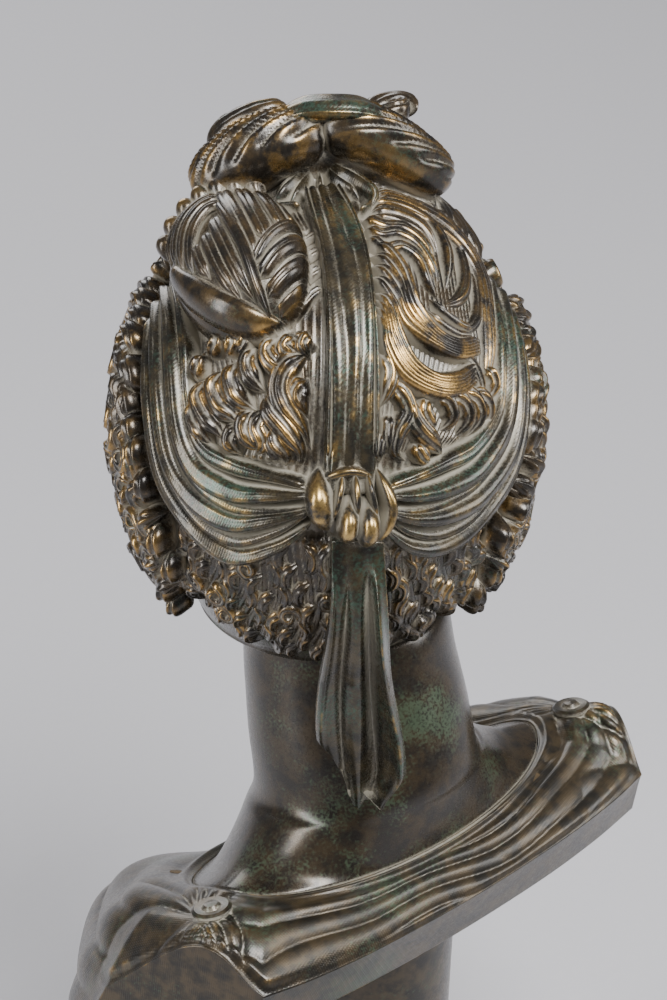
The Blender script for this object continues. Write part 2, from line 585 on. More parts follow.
def face_rise(x, z):
    """How far the face stands in front of the rings, in millimetres, from bells and
    arcs in x (shares of half the width) and z (shares of half the height)."""
    ax = np.abs(x)
    down = np.clip((0.02 - z) / 0.52, 0, 1)
    bridge = (1.2 + 10.8 * down ** 1.15) * np.exp(-(ax / (0.075 + 0.045 * down ** 2)) ** 2.4)
    nose = bridge * ease((z + 0.585) / 0.075) * ease((0.22 - z) / 0.22)
    wings = 4.6 * bell(ax - 0.125, 0.042) * bell(z + 0.505, 0.042)
    pits = -2.2 * bell(ax - 0.065, 0.022) * bell(z + 0.562, 0.018)
    dx = (ax - 0.365) / 0.185
    arc = np.clip(1 - dx * dx, 0, 1)
    upper, lower = -0.155 + 0.066 * arc ** 0.8, -0.163 - 0.05 * arc
    near = bell(ax - 0.365, 0.16) * bell(z + 0.165, 0.085)
    inside = ease((upper - z) / 0.014) * ease((z - lower) / 0.014) * ease(arc * 6)
    socket = -5.4 * bell(ax - 0.345, 0.17) * bell(z + 0.135, 0.085)
    ball = 4.6 * bell(ax - 0.365, 0.115) * bell(z + 0.165, 0.066)
    lids = 1.15 * ease(near * 1.8 - 0.25) * (1 - inside)
    fold = -0.7 * bell(z - upper - 0.05, 0.012) * bell(ax - 0.38, 0.13)
    brow_z = 0.005 - 0.05 * ((ax - 0.33) / 0.25) ** 2
    brow = 1.9 * bell(z - brow_z, 0.045) * ease((ax - 0.06) / 0.12) * ease((0.75 - ax) / 0.2)
    line = -0.705 + 0.010 * np.cos(ax * 22) * bell(ax, 0.2)
    wide = ease((0.30 - ax) / 0.12)
    top_lip = 2.5 * bell(z - line - 0.035 - 0.012 * bell(ax - 0.075, 0.05), 0.026) * wide
    low_lip = 3.0 * bell(z - line + 0.048, 0.034) * ease((0.26 - ax) / 0.16)
    slit = -1.5 * bell(z - line, 0.010) * ease((0.31 - ax) / 0.06)
    muzzle = 2.0 * bell(ax, 0.22) * bell(z + 0.68, 0.12)
    groove = -0.6 * bell(ax, 0.03) * bell(z + 0.615, 0.035)
    under = -1.5 * bell(ax, 0.15) * bell(z + 0.845, 0.035)
    chin = 3.2 * bell(ax, 0.19) * bell(z + 0.965, 0.085)
    cheek = 1.8 * bell(ax - 0.56, 0.17) * bell(z + 0.36, 0.16)
    fold_side = -0.35 * bell(ax - 0.30 - 0.3 * (-0.5 - z), 0.03) * bell(z + 0.60, 0.09)
    return (nose + wings + pits + socket + ball + lids + fold + brow + top_lip + low_lip + slit
            + muzzle + groove + under + chin + cheek + fold_side)


around, yoke_n, neck_n = 440, 5, 4
t = 2 * np.pi * np.arange(around) / around
lon = t + math.radians(25) * np.sin(t)
a = math.radians(90) + head_turn + lon
frame_rows = [yoke(k / yoke_n, a) + [0, 0, seat_z] for k in range(yoke_n)]
frame_rows += [neck_ring(k / (neck_n - 1), a) + [0, 0, seat_z] for k in range(neck_n)]
frame_rows += [from_head(ring_point(g, lon)) for g in HEAD_RINGS]
rows_total = len(frame_rows)
frame_rows = np.stack(frame_rows)
first_face = yoke_n + neck_n
k = np.concatenate([np.linspace(0, first_face, 46)[:-1], np.linspace(first_face, 24.5, 136)[:-1],
                    np.linspace(24.5, rows_total - 1, 14)])
head_skin = through(frame_rows, k)
head_skin[0] -= 0.3 * np.stack([np.cos(a), np.sin(a), 0 * a], -1)
local = (head_skin - head_c - [0, 0, seat_z]) @ HEAD_WAY
facing = ease((-np.cos(lon) - 0.2) / 0.4) * ease((k - first_face + 0.5) / 1.2)[:, None]
rise = face_rise(local[..., 0] / skull[0], local[..., 2] / skull[2]) * facing
head_skin = head_skin - rise[..., None] * HEAD_WAY[:, 1]
middle = head_skin.mean(1, keepdims=True)
inner_rows = middle + (head_skin - middle) * (1 - 1.6 * wall / np.linalg.norm(
    head_skin - middle, axis=-1, keepdims=True).mean())
lining = (inner_rows - rise[..., None] * -HEAD_WAY[:, 1])[::8]
lining[0] = head_skin[0] - [0, 0, wall]
shell = np.concatenate([lining[::-1], head_skin], 0)
flesh_bronze = bronze("bronze_flesh", (0.016, 0.013, 0.010), (0.040, 0.028, 0.015),
                      (0.060, 0.085, 0.050), GOLD, DUST, wear=0.10, dirt=0.15, spots=0.62,
                      gloss=0.27, grain=0.006)
make_piece("head_and_neck", [close_grid(shell)], flesh_bronze,
           ["head_casting"])

# ---------------------------------------------------------------- crown hair
# Flat bed of hair under everything else, drawn up towards the top-knot. All the
# hair is cast with the head, then each strand is cut with a chasing tool.
hair_bronze = bronze("bronze_hair", (0.016, 0.013, 0.010), (0.050, 0.034, 0.017),
                     (0.028, 0.050, 0.034), (0.50, 0.31, 0.105), (0.40, 0.365, 0.295), wear=0.85,
                     dirt=0.42, spots=0.42, gloss=0.24, grain=0.012)


def over(s, t, h):
    """Point at the height h over the skull: s degrees to the figure's right of the
    middle line and t degrees over the head from the back, 90 on top."""
    s, t = np.radians(s), np.radians(t)
    return np.stack([-(skull[0] + h) * np.sin(s), (skull[1] + h) * np.cos(s) * np.cos(t),
                     (skull[2] + h) * np.cos(s) * np.sin(t)], -1)


def over_metric(s, t):
    """Millimetres per degree of s and of t."""
    return 0.86 + 0 * s, 0.93 * np.cos(np.radians(s))


BACK = (over, over_metric)


def no_ground(s, t):
    return 0 * s


def section(k, wide, high, strands, turns, ends, deep, crisp, square, sink, tips, wander):
    """Offsets across and above a path at the shares k of its length: an oval, or for a
    small square a box with round corners, |x|^(2/square) + |y|^(2/square) = 1, narrowed
    towards both ends by a power of the distance, with strands lengthwise grooves
    |sin|^crisp in its top that wind round turns times."""
    top, under = int(6 * max(strands, 1.5)) + 5, int(2 * max(strands, 2)) + 2
    sweep = np.concatenate([np.linspace(1, -1, top), np.linspace(-1, 1, under)[1:-1]]) * np.pi / 2
    side = np.sin(sweep)
    up = np.clip(1 - np.abs(side) ** (2 / square), 0, 1) ** (square / 2)
    up[top:] *= -1
    grow = (ease(k / ends[0]) ** tips) * (ease((1 - k) / ends[1]) ** tips) * 0.97 + 0.03
    wide_at = np.interp(k, np.linspace(0, 1, np.size(wide)), np.atleast_1d(wide))
    high_at = np.interp(k, np.linspace(0, 1, np.size(high)), np.atleast_1d(high))
    share = (side + 1) / 2 + wander * np.sin(2 * np.pi * (1.3 * k[:, None] + 0.4 * side))
    groove = np.abs(np.sin(np.pi * (strands * share + turns * k[:, None]))) ** crisp
    cut = 1 - deep * (1 - groove) * ease(up * 2.5)
    off = side * (wide_at * grow / 2)[:, None] * (0.6 + 0.4 * cut)
    return off, np.where(up > 0, up, sink * up) * (high_at * grow ** 0.6)[:, None] * cut


def lock(chart, path, wide, high, strands=3, turns=0.0, ends=(0.2, 0.3), deep=0.2, crisp=0.6,
         square=1.0, sink=0.4, ground=no_ground, step=0.5, tips=0.75, wander=0.0):
    """Closed shell of one lock: a cubic runs through the path, whose points hold the
    chart's two angles and a height, and the section is carried along it."""
    place, metric = chart
    path = np.array([list(p) + [0.0] * (3 - len(p)) for p in path], float)
    last = len(path) - 1
    dense = through(path, np.linspace(0, last, 30 * last + 1)) if last > 1 else \
        path[0] + (path[1] - path[0]) * np.linspace(0, 1, 31)[:, None]
    ma, mb = metric(dense[:, 0], dense[:, 1])
    d = np.gradient(dense, axis=0)
    gone = np.concatenate([[0], np.cumsum(np.hypot(d[:, 0] * ma, d[:, 1] * mb)[1:])])
    rows = int(np.clip(gone[-1] / step, 14, 170))
    k = 0.5 - 0.5 * np.cos(np.pi * np.linspace(0, 1, rows)) * 0.15 - 0.5 * (1 - 2 * np.linspace(
        0, 1, rows)) * 0.85
    mid = np.stack([np.interp(k * gone[-1], gone, dense[:, c]) for c in range(3)], 1)
    ma, mb = metric(mid[:, 0], mid[:, 1])
    run = np.gradient(mid, axis=0)
    tx, ty = run[:, 0] * ma, run[:, 1] * mb
    size = np.hypot(tx, ty) + 1e-9
    tx, ty = tx / size, ty / size
    off, lift = section(k, wide, high, strands, turns, ends, deep, crisp, square, sink, tips, wander)
    s = mid[:, :1] - ty[:, None] * off / ma[:, None]
    t = mid[:, 1:2] + tx[:, None] * off / mb[:, None]
    grid = place(s, t, mid[:, 2:3] + lift + ground(s, t))
    points, quads, tris = close_grid(grid)
    return from_head(points), quads, tris


def bed(chart, s_edges, t_edges, high, waves, sway, cells, deep=0.3):
    """Closed slab of combed hair between s_edges(v) and t_edges(u): its top carries
    |sin| strands that sway, and dives under the scalp at its rim. The under side is coarser."""
    place = chart[0]
    u, v = np.linspace(0, 1, cells[0])[None, :], np.linspace(0, 1, cells[1])[:, None]
    (s0, s1), (t0, t1) = s_edges(v), t_edges(u)
    s, t = s0 + (s1 - s0) * u + 0 * v, t0 + (t1 - t0) * v + 0 * u
    rim = ease(9 * u) * ease(9 * (1 - u)) * ease(9 * v) * ease(9 * (1 - v))
    comb = np.abs(np.sin(np.pi * (waves * u + sway * np.sin(7 * v + 3 * u)))) ** 0.6
    top = place(s, t, (high + 1.5) * rim - 1.5 - deep * (1 - comb) * rim)
    under = place(s, t, -2.5 + 0 * rim)
    grid = np.concatenate([top, under[:, ::-6]], 1)
    points, quads, tris = close_grid(grid)
    return from_head(points), quads, tris


scalp = [bed(BACK, lambda v: (-72 + 0 * v, 72 + 0 * v), lambda u: (-34 + 0 * u, 146 + 0 * u),
             0.9, 60, 0.8, (260, 120), 0.5),
         bed(BACK, lambda v: (-50 + 0 * v, 50 + 0 * v), lambda u: (99 + 0 * u, 128 + 0 * u),
             4.4, 34, 0.8, (200, 60), 0.6)]
for s in np.arange(-44, 45, 5.5):
    scalp.append(lock(BACK, [(1.12 * s, 100, 0.5), (s, 106, 3.0), (0.8 * s, 113, 3.5),
                             (0.95 * s, 121, 2.0)], 5.6, 2.6,
                      strands=3, deep=0.22, ends=(0.2, 0.2), wander=0.05))
make_piece("crown_strands", scalp, hair_bronze, ["crown_hair"])

# ---------------------------------------------------------------- wavy hair, right
# Long waved locks that leave the ribbon and the parting, sweep to the figure's
# right and end in chased tips over the swag.
wavy = [bed(BACK, lambda v: (7 + 0 * v, 34 + 15 * np.sin(np.pi / 2 * np.clip(v * 2.2, 0, 1))),
            lambda u: (19 + 0 * u, 86 + 12 * u), 2.0, 26, 0.9, (180, 120), 0.5)]
# Strands drawn from the parting round the side of the head.
for i, (lean, rise) in enumerate(((0, 3.0), (2.6, 3.4), (5.2, 3.6), (7.8, 3.2))):
    wavy.append(lock(BACK, [(9, 97.5 - lean), (19, 101 - lean * 1.2), (31, 103 - lean * 1.7, 0.8),
                            (41 - lean * 0.25, 98 - lean * 1.5, 1.0),
                            (47.5 - lean * 0.45, 86 - lean, 0.8),
                            (50 - lean * 0.5, 68 - lean), (50 - lean * 0.5, 54 - lean),
                            (48 - lean * 0.4, 40 - lean)],
                     4.0, rise + 0.6, strands=2, deep=0.25, ends=(0.08, 0.25)))
# Pointed leaf of hair under them.
wavy.append(lock(BACK, [(8, 86.5), (17, 88, 0.8), (25, 85.5, 1.0), (31.5, 77, 0.4)],
                 [5.5, 8.5, 6.5, 2.0], 3.2, strands=4, deep=0.22, ends=(0.15, 0.45)))
wavy.append(lock(BACK, [(8, 90.5), (18, 92.5, 0.8), (27, 90.5, 1.2), (31.5, 83, 1.2), (32, 74, 0.8),
                        (31, 64, 0.2)], [3, 4, 4, 3.2], 3.2, strands=2, ends=(0.1, 0.3)))
wavy.append(lock(BACK, [(30, 95), (36, 89, 0.8), (38.5, 79, 0.8), (37, 69, 0.6), (32, 63.5), (26, 63.5)],
                 4.2, 3.4, strands=3, ends=(0.12, 0.35)))
wavy.append(lock(BACK, [(36, 96), (41, 88, 0.6), (43, 76, 0.6), (42.5, 64, 0.4), (38, 58), (31, 57.5)],
                 4.0, 3.2, strands=3, ends=(0.12, 0.35)))
# Upper ripple out of the ribbon, and the small waves above it.
for path in ([(6, 83), (12, 81), (18, 82, 0.4), (24, 79, 0.4), (29, 72)],
             [(6.5, 80), (11, 77.5), (16, 79, 0.4), (22, 77, 0.6), (27, 70, 0.4), (29, 64)],
             [(7, 77), (12, 73), (17, 74.5, 0.5), (22, 72, 0.7), (25, 66, 0.5), (30, 61.5)]):
    wavy.append(lock(BACK, path, 4.4, 3.8, strands=2, ends=(0.12, 0.3)))
# First great wave.
for i in range(4):
    q = i / 3
    wavy.append(lock(BACK, [(7.5, 74 - 9 * q), (12 - q, 72 - 10 * q, 0.8),
                            (16.5 - 2.5 * q, 66 - 8 * q, 1.2),
                            (19 - 2 * q, 58 - 5 * q, 1.4), (25 - q, 52 - 2 * q, 1.3),
                            (33, 51 - 2.2 * q, 1.0), (41, 55 - 3.0 * q, 0.6), (47, 58 - 4 * q)],
                     [3.8, 5.0, 4.4, 3.0], 4.2, strands=2, deep=0.24, ends=(0.1, 0.2)))
for path in ([(24, 63, 0.6), (29, 58.5, 1.0), (36, 57.5, 0.8), (43, 61)],
             [(22, 60, 0.6), (26.5, 55.5, 1.2), (34, 54.2, 1.0), (42, 58, 0.6)]):
    wavy.append(lock(BACK, path, 2.8, 3.6, strands=2, ends=(0.3, 0.35)))
# Second great wave.
for i in range(4):
    q = i / 3
    wavy.append(lock(BACK, [(8.5, 61 - 5 * q), (12 - q, 57 - 5 * q, 0.8),
                            (14 - 2 * q, 50 - 3.5 * q, 1.4), (18 - 1.5 * q, 43.5 - 2.5 * q, 1.8),
                            (25, 40.5 - 2 * q, 1.8), (33, 42 - 2.6 * q, 1.2),
                            (40, 47 - 4 * q, 0.6), (45, 47 - 6 * q)],
                     [3.6, 4.8, 4.8, 3.0], 4.4, strands=2, deep=0.24, ends=(0.1, 0.2)))
wavy.append(lock(BACK, [(33, 49.5, 0.4), (39, 48.5, 0.6), (43, 43.5, 0.6), (44, 36)], 3.4, 3.4,
                 strands=3))
# Loose curls below the waves.
for path, w in (([(9.5, 47), (12.5, 42, 0.6), (11.5, 37, 0.6), (9.5, 33)], 3.4),
                ([(10, 40), (15, 37.5, 0.6), (17.5, 33, 0.8), (15, 28.5, 0.6), (15, 24), (19, 21.5)], 3.6),
                ([(13, 33), (12, 28, 0.4), (13, 23.5)], 3.2),
                ([(18.5, 38.5), (18.5, 33, 0.6), (21.5, 29, 1.0), (26.5, 25.5, 0.8), (31, 21.5)], 4.0),
                ([(24, 37), (22.5, 33.5, 0.8), (25, 30.5, 0.8), (28, 31)], 3.0),
                ([(25, 38), (29.5, 36, 0.8), (31, 31.5, 0.8), (28, 28)], 3.2),
                ([(29, 38.5), (34.5, 36.5, 1.0), (36.5, 31.5, 1.0), (33.5, 26.5, 0.4)], 3.2),
                ([(33, 39.5), (39, 37.5, 1.0), (41, 32, 1.0), (38.5, 26, 0.4)], 3.2),
                ([(38.5, 40.5), (43.5, 38, 0.8), (45.5, 33, 0.6), (44, 28)], 3.0),
                ([(20, 27), (22, 23.5, 0.4), (26, 21)], 3.0),
                ([(45, 50), (48, 44, 0.4), (47, 37)], 3.0),
                ([(10.5, 29), (9.5, 25, 0.4), (11, 21.5)], 2.8)):
    wavy.append(lock(BACK, path, 1.55 * w, 4.8, strands=3, deep=0.26, ends=(0.25, 0.45)))
make_piece("wavy_locks", wavy, hair_bronze, ["wavy_hair_right"])

# ---------------------------------------------------------------- curls, left
# A dozen short S-shaped curls between the ribbon, the braid and the left swag,
# cut deep so that each stands clear of the next.
curls = [bed(BACK, lambda v: (-46 + 0 * v, -7 + 0 * v), lambda u: (18 + 0 * u, 54 + 0 * u),
             1.8, 20, 0.9, (150, 110), 0.5)]
for path, w in (([(-9, 46), (-15, 42.5, 0.8), (-17, 38, 1.2), (-15.5, 33.5, 1.0), (-11, 28.5, 0.6),
                  (-8.5, 24)], 4.2),
                ([(-9.5, 40), (-12.5, 36, 0.6), (-9.5, 31)], 3.6),
                ([(-21, 38), (-19.5, 33, 1.0), (-15, 28.5, 1.0), (-11.5, 24, 0.6), (-12, 20.5)], 3.8),
                ([(-19, 30), (-18.5, 26, 0.8), (-15.5, 22.5, 0.4), (-16, 20)], 3.8),
                ([(-18, 50), (-20.5, 46, 0.8), (-17.5, 42.5, 0.8), (-13.5, 44.5)], 3.2),
                ([(-13, 49.5), (-15.5, 46.5, 0.8), (-12, 44.5)], 3.0),
                ([(-24, 48.5), (-26, 44, 0.8), (-24, 39.5, 1.0), (-20.5, 36.5, 0.6)], 3.4),
                ([(-29.5, 46), (-30.5, 40.5, 1.0), (-28, 35.5, 1.2), (-23.5, 32.5, 0.8)], 3.8),
                ([(-34, 44.5), (-36, 39.5, 0.8), (-34, 34.5, 1.0), (-30, 31.5, 0.8), (-27.5, 27.5)], 3.6),
                ([(-39, 43), (-41, 37.5, 0.8), (-38.5, 32, 1.0), (-34.5, 28, 0.8), (-32, 23)], 3.6),
                ([(-43, 38), (-43, 32, 0.6), (-39.5, 26.5, 0.8), (-36, 22)], 3.2),
                ([(-24.5, 33.5), (-26.5, 29.5, 1.0), (-24.5, 25.5, 0.8), (-21.5, 23.5)], 3.6),
                ([(-20.5, 33.5), (-23, 29.5, 1.0), (-21.5, 25.5, 1.0), (-24.5, 22, 0.4)], 3.2),
                ([(-28.5, 30), (-30.5, 26, 0.8), (-28, 21.5, 0.4)], 3.2),
                ([(-31.5, 53), (-30.5, 49.5, 0.8), (-33.5, 46.5, 0.4)], 3.0),
                ([(-36, 54), (-35.5, 50.5, 0.8), (-38.5, 47, 0.4)], 3.0),
                ([(-41, 50), (-41.5, 45.5, 0.6), (-43.5, 41)], 3.0),
                ([(-26, 52), (-27.5, 48.5, 0.8), (-30.5, 49)], 2.8),
                ([(-9, 50), (-11, 47), (-9, 44)], 2.6)):
    curls.append(lock(BACK, path, 1.7 * w, 5.4, strands=3, deep=0.26, ends=(0.25, 0.45)))
make_piece("loose_curls_left", curls, hair_bronze, ["curl_panel_left"])

# ---------------------------------------------------------------- braid coil
# A plait wound into a flat egg behind the crown: ribbed bands that cross one
# another over a smooth core, with a row of beads along the upper rim.
coil_c, coil_half, coil_turn, coil_h = (-29.5, 74.0), (23.5, 15.5), math.radians(118), 12.0


def coil_ground(s, t):
    """Height of the egg over the skull: sqrt(1 - r2) on its turned oval plan."""
    x, y = (s - coil_c[0]) * 0.86, (t - coil_c[1]) * 0.93 * np.cos(np.radians(s))
    a = (x * math.cos(coil_turn) + y * math.sin(coil_turn)) / coil_half[0]
    b = (y * math.cos(coil_turn) - x * math.sin(coil_turn)) / coil_half[1]
    return coil_h * np.sqrt(np.clip(1 - a * a - b * b, 0.0, 1)) ** 0.8


e = np.linspace(0, 2 * np.pi, 160, endpoint=False)[None, :]
r = np.sin(np.linspace(np.pi / 2 - 0.002, 0.01, 70))[:, None]
x, y = coil_half[0] * r * np.cos(e), coil_half[1] * r * np.sin(e)
s = coil_c[0] + (x * math.cos(coil_turn) - y * math.sin(coil_turn)) / 0.86
t = coil_c[1] + (x * math.sin(coil_turn) + y * math.cos(coil_turn)) / 0.93 / np.cos(np.radians(s))
core = np.concatenate([over(s[:1], t[:1], -1.0), over(s, t, 0.3 + coil_ground(s, t))], 0)
points, quads, tris = close_grid(core)
braid = [(from_head(points), quads, tris)]


def band_on_coil(path, wide, high, strands, **more):
    return lock(BACK, path, wide, high, strands=strands, ground=coil_ground, deep=0.3, crisp=0.5,
                step=0.45, **more)


# Ribbed band that runs down from the rim, ribs almost upright.
for path, w in (([(-29, 95), (-27.5, 86, 0.5), (-24.5, 76, 0.6), (-20.5, 64, 0.3)], 3.8),
                ([(-25, 95), (-23.5, 87, 0.5), (-21, 78, 0.6), (-17.5, 68, 0.3)], 3.6),
                ([(-21, 94), (-19.5, 87, 0.5), (-17, 79.5, 0.6), (-14, 72, 0.3)], 3.4),
                ([(-17, 92), (-15.5, 86, 0.4), (-13.5, 80, 0.5), (-11, 75, 0.3)], 3.2),
                ([(-13, 90), (-11.5, 84, 0.4), (-9.5, 78, 0.4)], 3.2)):
    braid.append(band_on_coil(path, w, 1.5, 2, ends=(0.08, 0.12)))
# Patch that crosses it, ribs rising towards the ribbon.
for path, w in (([(-21, 62.5, 0.5), (-17, 69, 1.0), (-12, 74, 1.1), (-6, 78, 0.8)], 2.4),
                ([(-20, 59.5, 0.4), (-15.5, 65, 1.0), (-10.5, 69.5, 1.1), (-5.5, 72.5, 0.8)], 3.2),
                ([(-18.5, 56, 0.3), (-14, 60.5, 0.9), (-9.5, 64.5, 1.0), (-5.5, 67, 0.8)], 3.2),
                ([(-16.5, 52.5, 0.2), (-12.5, 56, 0.8), (-9, 59.5, 0.8), (-5.5, 61.5, 0.6)], 3.2)):
    braid.append(band_on_coil(path, w, 1.6, 2, ends=(0.12, 0.1)))
# Long leaf with a sharp bright edge, and the narrow ribs that lie against it.
braid.append(band_on_coil([(-29, 83, 0.6), (-26, 75, 1.5), (-22.5, 66, 1.6), (-20, 57, 1.2),
                           (-17.5, 49, 0.3)],
                          [1.6, 2.4, 2.2, 1.2], 2.0, 1, ends=(0.1, 0.25)))
for path, w in (([(-30.5, 80), (-28, 72, 0.7), (-25, 63.5, 0.8), (-21, 54.5, 0.2)], 3.6),
                ([(-32.5, 76), (-30.5, 69, 0.6), (-28, 62, 0.6), (-24, 55, 0.1)], 3.2),
                ([(-35, 73.5), (-33.5, 67.5, 0.5), (-31.5, 62.5, 0.2)], 3.0)):
    braid.append(band_on_coil(path, w, 1.5, 2, ends=(0.15, 0.3)))
# Arcs that wrap round the outer side of the coil.
for path, w in (([(-27.5, 83, 0.4), (-31.5, 82.5, 1.0), (-35, 78, 1.0), (-36.5, 71.5, 0.5),
                  (-36, 65)], 2.8),
                ([(-28.5, 87, 0.4), (-33, 86.5, 0.9), (-37, 82, 1.0), (-39, 75, 0.6), (-39, 68)], 2.8),
                ([(-29.5, 91, 0.4), (-34.5, 91, 0.8), (-39, 87, 0.9), (-41.5, 80, 0.6), (-42, 72)], 2.8),
                ([(-31, 95, 0.4), (-36, 95.5, 0.7), (-41, 92, 0.8), (-44, 85, 0.6), (-45, 77)], 2.8),
                ([(-37, 100), (-42, 97.5, 0.4), (-46, 91.5, 0.4), (-47.5, 84)], 2.6)):
    braid.append(band_on_coil(path, w, 1.5, 2, ends=(0.1, 0.25)))
# Smooth roll along the lower edge.
braid.append(band_on_coil([(-45, 76), (-40, 66, 0.2), (-32, 57, 0.4), (-22, 51, 0.4),
                           (-12, 47.5, 0.4), (-6, 47)],
                          [4, 6, 6.5, 6, 4.5], 2.2, 1, ends=(0.1, 0.1)))
# Beads of the rim.
for s, t, h, lean in ((-22, 95.5, 5.5, 8), (-26.2, 97, 7.2, 5), (-30.4, 98, 8.4, 2),
                      (-34.6, 98, 9.2, -2), (-38.6, 96.4, 9.4, -6), (-42.6, 93, 9.2, -10),
                      (-45.6, 88.4, 8.6, -14)):
    braid.append(lock(BACK, [(s - 0.6, t + 3.8, h - 2), (s, t + 0.4, h),
                             (s + lean * 0.1, t - 3.8, h - 0.8)],
                      4.4, 3.4, strands=1, deep=0, ends=(0.4, 0.4), step=0.4, tips=0.5, sink=1.2))
make_piece("plait_coil", braid, hair_bronze, ["braid_coil"])

# ---------------------------------------------------------------- top-knot
# The hair is tied up on the crown into two rolls, with a small coil behind each
# and a flat fold of cloth laid across between them.
def roll_of_hair(path, wide, high, strands, turns=0.0, ends=(0.2, 0.2), deep=0.12, crisp=0.6,
                 square=1.0, step=0.5, tips=0.5, wander=0.0):
    """Closed shell along a path in space, in the head's own millimetres: the section is
    set across the path and away from the middle of the head."""
    path = np.array(path, float)
    last = len(path) - 1
    dense = through(path, np.linspace(0, last, 30 * last + 1))
    gone = np.concatenate([[0], np.cumsum(np.linalg.norm(np.diff(dense, axis=0), axis=1))])
    k = np.linspace(0, 1, int(np.clip(gone[-1] / step, 16, 170)))
    mid = np.stack([np.interp(k * gone[-1], gone, dense[:, c]) for c in range(3)], 1)
    run = unit(np.gradient(mid, axis=0))
    away = unit(mid - [0, 0, 20.0])
    away = unit(away - (away * run).sum(1, keepdims=True) * run)
    off, lift = section(k, wide, high, strands, turns, ends, deep, crisp, square, 1.0, tips, wander)
    grid = mid[:, None] + off[..., None] * np.cross(run, away)[:, None] + lift[..., None] * away[:, None]
    points, quads, tris = close_grid(grid)
    return from_head(points), quads, tris


knot_left = [roll_of_hair([(15, -18, 50), (5, -18, 55), (-5, -18, 55), (-15, -18, 50)],
                          [12, 16, 16, 12], 7.5, 9, turns=0.3, deep=0.12, wander=0.04),
             roll_of_hair([(2, -15, 60.5), (10, -12, 62), (18, -12, 58), (24.5, -15, 51), (26, -18, 45)],
                          [10, 15.5, 17.5, 15.5, 10], [5.5, 7.4, 8.2, 7.4, 5.5], 6, turns=7.5,
                          ends=(0.16, 0.2), deep=0.3, crisp=0.8),
             roll_of_hair([(26.5, -21, 54), (23, -20, 59.5), (18, -19, 63), (13, -19, 64.5),
                           (10, -21, 63)],
                          [4, 6.5, 7, 5], [2.4, 3.4, 3.6, 3], 4, turns=1.5, deep=0.2)]
make_piece("knot_roll_left", knot_left, hair_bronze, ["topknot_left"])
knot_right = [roll_of_hair([(4, -15, 61.5), (-3.5, -13, 64), (-12, -13, 60), (-20, -15, 53.5),
                            (-23.5, -18, 48)],
                           [10, 14, 14.5, 12.5, 9], [5.5, 6.8, 7, 6.4, 5], 7, turns=5.0,
                           ends=(0.14, 0.2), deep=0.3, crisp=0.8)]
e = np.linspace(0, 2.6 * np.pi, 12)
r = np.linspace(6.2, 1.2, 12)
knot_right.append(roll_of_hair(np.stack([-11 - r * np.cos(e), -20 - 0.8 * r * np.sin(e),
                                         63.5 + 0.25 * e + 0.35 * r * np.cos(e)], 1),
                               [5, 6, 5.5, 4.5], [3.0, 3.6, 3.6, 3.4], 3, turns=1.0, deep=0.2))
make_piece("knot_roll_right", knot_right, hair_bronze, ["topknot_right"])

ribbon_bronze = bronze("bronze_ribbon", (0.018, 0.016, 0.012), (0.055, 0.042, 0.022),
                       (0.034, 0.066, 0.046), (0.44, 0.29, 0.11), (0.40, 0.37, 0.30), wear=0.62,
                       dirt=0.36, spots=0.66, gloss=0.25, grain=0.02)
threads = ribbon_bronze.sum(ribbon_bronze.ridges(0.55, (0, 0.3, 1), bend=1.2),
                            ribbon_bronze.noise(0.5, detail=3), "MULTIPLY")
ribbon_bronze.set(Normal=ribbon_bronze.bump(
    threads, 0.02, ribbon_bronze.surface.inputs["Normal"].links[0].from_socket))
fold_cloth = [roll_of_hair([(14, -16, 62), (8, -15, 67), (1, -14, 68.5), (-5, -15, 67.5),
                            (-11, -18, 63)],
                           [8, 12, 13, 10], [1.8, 3.0, 3.0, 2.0], 3, ends=(0.25, 0.25), deep=0.3)]
make_piece("knot_cloth_fold", fold_cloth, ribbon_bronze, ["topknot_fold"])

# ---------------------------------------------------------------- cloth on the crown
# The ribbon's two ends part in an inverted V under the top-knot, with narrow
# turned-over edges and a hollow between that has filled with dust.
crown_fold = [
    lock(BACK, [(-4.5, 108, 5.0), (-9, 101, 2.4), (-14.5, 95, 1.2), (-20.5, 90.5)], [3.4, 4.2, 2.8], 4.4,
         strands=2, ends=(0.15, 0.3)),
    lock(BACK, [(-5, 106, 3.5), (-9, 98.5, 1.0), (-12, 93.5), (-15, 91)], 2.4, 3.8, strands=1),
    lock(BACK, [(-20.5, 90.5), (-15.5, 89.5), (-10, 87.5)], 2.2, 3.6, strands=1, ends=(0.3, 0.2)),
    lock(BACK, [(-4, 108, 5.0), (0, 101.5, 2.4), (5, 97.5, 1.4), (10, 92, 0.6), (8, 86)],
         [3.4, 4.8, 4.4, 2.8], 4.6, strands=2, ends=(0.15, 0.3)),
    lock(BACK, [(-4, 105, 3.2), (-1, 99.5, 1.2), (3, 96), (7, 92.5)], 2.6, 3.8, strands=1),
    lock(BACK, [(9.5, 91, 0.4), (8, 87), (4.5, 84)], 2.0, 3.8, strands=1, ends=(0.3, 0.3)),
    lock(BACK, [(-4.5, 106, 3.5), (-4.6, 100, 1.0), (-4.8, 96)], 1.8, 3.4, strands=1)]
make_piece("crown_cloth_folds", crown_fold, ribbon_bronze, ["crown_cloth"])

